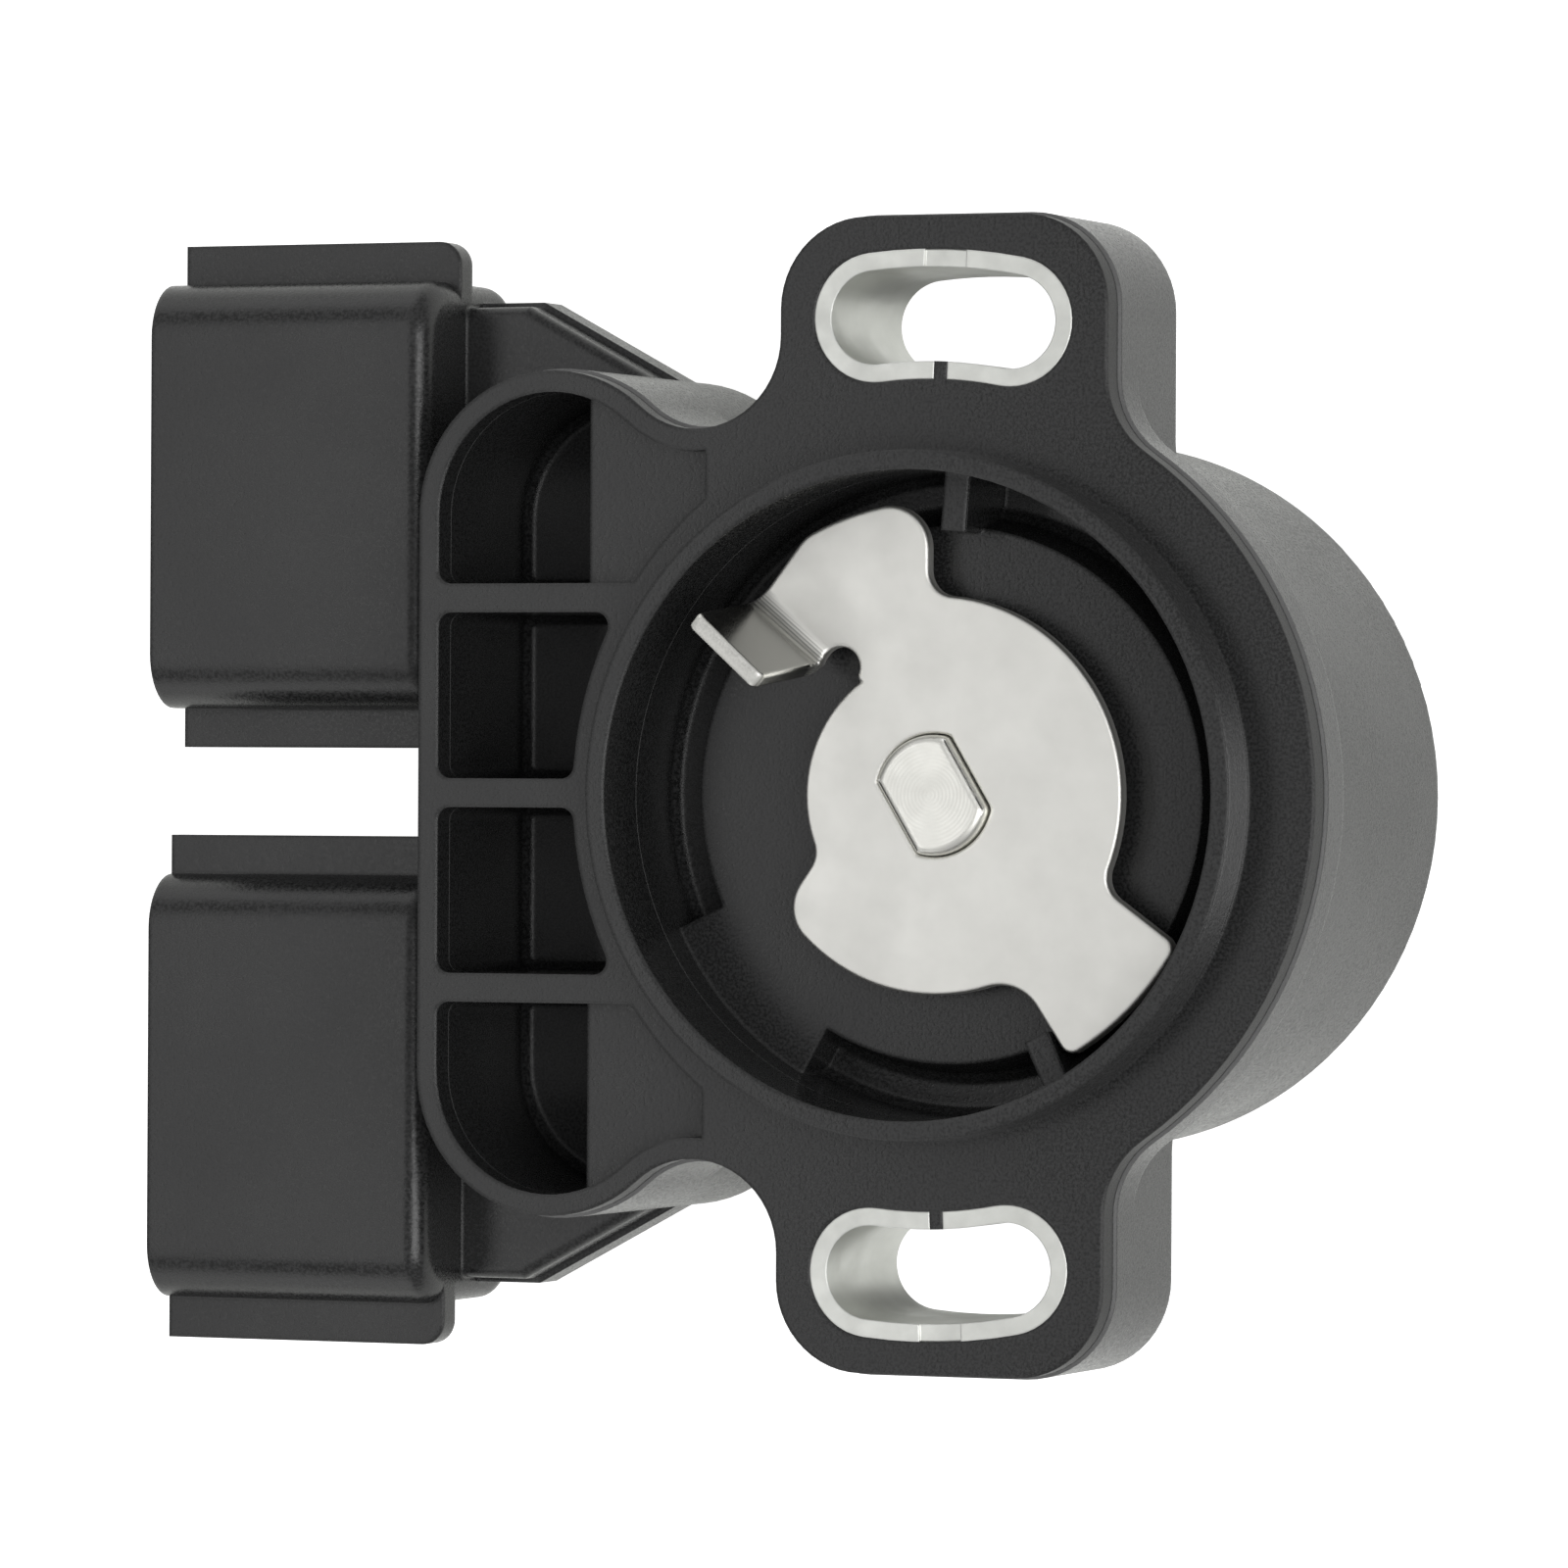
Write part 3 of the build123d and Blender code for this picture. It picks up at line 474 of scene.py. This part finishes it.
def turned_metal(name, tone, rough, ring_pitch):
    """Turned bar: fine rings about the shaft axis and a slightly uneven gloss."""
    finish = Finish(name)
    soft_normal, near_edge = finish.rounded(TURNED_EDGE)
    across = finish.flat(finish.place)
    radius = finish.maths("SQRT", finish.flat_product(across, across))
    rings = finish.maths(
        "ADD",
        finish.wave(radius, ring_pitch),
        finish.wave(finish.level, ring_pitch),
    )
    patch = finish.noise(*TURNED_PATCH)
    base = finish.blend(finish.spread(patch, *NOISE_BAND), tone, shade(tone, TURNED_TONE))
    base = finish.tint(base, near_edge, TURNED_WEAR, grey(TURNED_BRIGHT))
    finish.set(
        Base_Color=base,
        Metallic=1.0,
        Roughness=finish.uneven(patch, NOISE_BAND, rough, TURNED_SWING),
        Normal=finish.bump(rings, *TURNED_BUMP, soft_normal),
    )
    return finish.material


def plain_metal(name, tone, rough, scale):
    """Strip or wire: drawn grain and small changes of tone."""
    finish = Finish(name)
    soft_normal, near_edge = finish.rounded(STRIP_EDGE)
    patch = finish.noise(scale, *PATCH_DETAIL)
    base = finish.blend(finish.spread(patch, *NOISE_BAND), tone, shade(tone, STRIP_TONE))
    finish.set(
        Base_Color=finish.tint(base, near_edge, STRIP_WEAR, grey(STRIP_BRIGHT)),
        Metallic=1.0,
        Roughness=finish.uneven(patch, NOISE_BAND, rough, STRIP_SWING),
        Normal=finish.bump(patch, *STRIP_BUMP, soft_normal),
    )
    return finish.material


def soft_solid(name, dark, pale, rough, scale, depth):
    """Rubber, board or natural plastic: a fine matt skin with small changes of tone."""
    finish = Finish(name)
    soft_normal = finish.rounded(SOFT_EDGE)[0]
    patch = finish.noise(scale, *PATCH_DETAIL)
    skin = finish.noise(scale * SKIN_FINER, *SKIN_DETAIL)
    finish.set(
        Base_Color=finish.blend(finish.spread(patch, *NOISE_BAND), dark, pale),
        Roughness=finish.uneven(skin, NOISE_BAND, rough, SOFT_SWING),
        Normal=finish.bump(skin, depth, SOFT_STRENGTH, soft_normal),
    )
    return finish.material


finishes = {
    "housing_plastic": moulded_plastic(
        "black_housing_plastic",
        dark=grey(0.0105, PLASTIC_CAST),
        pale=grey(0.0135, PLASTIC_CAST),
        rough=0.27,
        grain=0.014 * MM,
    ),
    "cover_plastic": moulded_plastic(
        "black_cover_plastic",
        dark=grey(0.009, PLASTIC_CAST),
        pale=grey(0.012, PLASTIC_CAST),
        rough=0.27,
        grain=0.014 * MM,
    ),
    "rotor_plastic": soft_solid(
        "natural_rotor_plastic",
        dark=(0.6, 0.57, 0.5, 1.0),
        pale=(0.68, 0.65, 0.58, 1.0),
        rough=0.45,
        scale=160.0,
        depth=0.01 * MM,
    ),
    "washer_nylon": soft_solid(
        "natural_nylon",
        dark=(0.62, 0.6, 0.54, 1.0),
        pale=(0.7, 0.68, 0.62, 1.0),
        rough=0.4,
        scale=200.0,
        depth=0.008 * MM,
    ),
    "card_board": soft_solid(
        "track_board",
        dark=(0.3, 0.2, 0.07, 1.0),
        pale=(0.38, 0.27, 0.11, 1.0),
        rough=0.5,
        scale=400.0,
        depth=0.006 * MM,
    ),
    "seal_rubber": soft_solid(
        "black_rubber",
        dark=grey(0.012),
        pale=grey(0.02),
        rough=0.6,
        scale=220.0,
        depth=0.015 * MM,
    ),
    "lever_steel": rolled_steel("satin_lever_steel", tone=(0.885, 0.88, 0.84, 1.0), rough=0.46),
    "sleeve_steel": zinc_steel("zinc_sleeve_steel", tone=(0.82, 0.83, 0.79, 1.0), rough=0.42),
    "shaft_steel": turned_metal(
        "turned_shaft_steel", tone=(0.97, 0.965, 0.91, 1.0), rough=0.38, ring_pitch=0.22 * MM
    ),
    "bush_bronze": turned_metal(
        "sintered_bronze", tone=(0.52, 0.36, 0.2, 1.0), rough=0.5, ring_pitch=0.3 * MM
    ),
    "spring_steel": plain_metal("spring_steel", tone=grey(0.5, 0.01), rough=0.35, scale=300.0),
    "wiper_bronze": plain_metal(
        "wiper_bronze", tone=(0.72, 0.5, 0.28, 1.0), rough=0.32, scale=500.0
    ),
    "terminal_tin": plain_metal("tinned_brass", tone=grey(0.7, 0.02), rough=0.34, scale=600.0),
}
for subpart in frame["record"]["subparts"]:
    node = nodes[subpart["node"]]
    for slot in node.material_slots:
        slot.material = finishes[subpart["material_slot"]]


def round_edges(node, width):
    """Round off the sharp edges of a piece by width."""
    weld = node.modifiers.new("weld", "WELD")
    weld.merge_threshold = WELD_GAP
    flat = node.modifiers.new("flat", "DECIMATE")
    flat.decimate_type = "DISSOLVE"
    flat.angle_limit = FLAT_ANGLE
    soft = node.modifiers.new("soft", "BEVEL")
    soft.width = width
    soft.segments = ROUND_SEGMENTS
    soft.limit_method = "ANGLE"
    soft.angle_limit = SHARP_ANGLE
    soft.use_clamp_overlap = False


round_edges(nodes["lever_plate"], LEVER_ROUND)
round_edges(nodes["rotor_shaft"], SHAFT_ROUND)


def floor_material():
    """White that glows to the camera, and a little in the gloss of the part."""
    material = bpy.data.materials.new("white_floor")
    material.use_nodes = True
    graph = Graph(material.node_tree)
    graph.tree.nodes.clear()
    diffuse = graph.add("ShaderNodeBsdfDiffuse")
    graph.join(shade(WHITE, FLOOR_TONE), diffuse.inputs["Color"])
    in_gloss = graph.ray_share(GLOSS_RAYS)
    gloss = graph.times(in_gloss, FLOOR_GLOSS)
    strength = graph.maths("MULTIPLY_ADD", graph.ray_share(CAMERA_RAYS), FLOOR_SEEN, gloss)
    glow = graph.add("ShaderNodeEmission")
    graph.join(graph.blend(in_gloss, WHITE, FLOOR_TINT), glow.inputs["Color"])
    graph.join(strength, glow.inputs["Strength"])
    both = graph.add("ShaderNodeAddShader")
    graph.join(diffuse.outputs["BSDF"], both.inputs[0])
    graph.join(glow.outputs["Emission"], both.inputs[1])
    out = graph.add("ShaderNodeOutputMaterial")
    graph.join(both.outputs["Shader"], out.inputs["Surface"])
    return material


def make_floor():
    """White floor under the part, which still takes the part's shadow."""
    low = cad_low.z
    corners = [(-FLOOR_HALF, -FLOOR_HALF), (FLOOR_HALF, -FLOOR_HALF)]
    corners += [(FLOOR_HALF, FLOOR_HALF), (-FLOOR_HALF, FLOOR_HALF)]
    mesh = bpy.data.meshes.new("floor")
    mesh.from_pydata([(x, y, low) for x, y in corners], [], [(0, 1, 2, 3)])
    floor = bpy.data.objects.new("floor", mesh)
    bpy.context.scene.collection.objects.link(floor)
    mesh.materials.append(floor_material())


def make_world():
    """Even studio surround: white to the camera, a little darker as light."""
    world = bpy.data.worlds.new("studio")
    bpy.context.scene.world = world
    world.use_nodes = True
    graph = Graph(world.node_tree)
    background = graph.tree.nodes["Background"]
    light = graph.spread(graph.ray_share(GLOSS_RAYS), 0.0, 1.0, SKY_LIGHT, SKY_SEEN)
    seen = graph.maths("MAXIMUM", light, graph.ray_share(CAMERA_RAYS))
    graph.join(WHITE, background.inputs["Color"])
    graph.join(seen, background.inputs["Strength"])


def make_softbox(name, place, target, across, along, power):
    """Area lamp at place that faces target, its first side level with the floor."""
    lamp = bpy.data.lights.new(name, "AREA")
    lamp.shape = "RECTANGLE"
    lamp.size = across
    lamp.size_y = along
    lamp.energy = power
    holder = bpy.data.objects.new(name, lamp)
    holder.location = place
    aim = Vector(target) - Vector(place)
    holder.rotation_mode = "QUATERNION"
    holder.rotation_quaternion = aim.to_track_quat("-Z", "Y")
    bpy.context.scene.collection.objects.link(holder)


def make_camera():
    """Camera with the photograph's direction, scale and framing."""
    back = Vector(
        (
            math.sin(VIEW_TURN) * math.cos(VIEW_RISE),
            math.sin(VIEW_RISE),
            math.cos(VIEW_TURN) * math.cos(VIEW_RISE),
        )
    )
    level_right = Vector((0, 1, 0)).cross(back).normalized()
    level_up = back.cross(level_right)
    right = level_right * math.cos(VIEW_ROLL) + level_up * math.sin(VIEW_ROLL)
    up = back.cross(right)
    aside = (ORIGIN_PX[0] - FRAME_PX / 2) / PX_PER_M
    below = (ORIGIN_PX[1] - FRAME_PX / 2) / PX_PER_M
    data = bpy.data.cameras.new("camera")
    data.sensor_width = SENSOR_MM
    data.lens = SENSOR_MM * CAMERA_DISTANCE * PX_PER_M / FRAME_PX
    data.clip_start = NEAR_CLIP
    camera = bpy.data.objects.new("camera", data)
    turn = Matrix((right, up, back)).transposed().to_4x4()
    place = back * CAMERA_DISTANCE - right * aside + up * below
    camera.matrix_world = Matrix.Translation(place) @ turn
    bpy.context.scene.collection.objects.link(camera)
    bpy.context.scene.camera = camera


make_floor()
make_world()
make_softbox("key", **KEY)
make_softbox("fill", **FILL)
make_softbox("upper", UPPER_PLACE, **SIDE)
make_softbox("lower", LOWER_PLACE, **SIDE)
make_camera()
bpy.context.scene.view_settings.view_transform = "Standard"
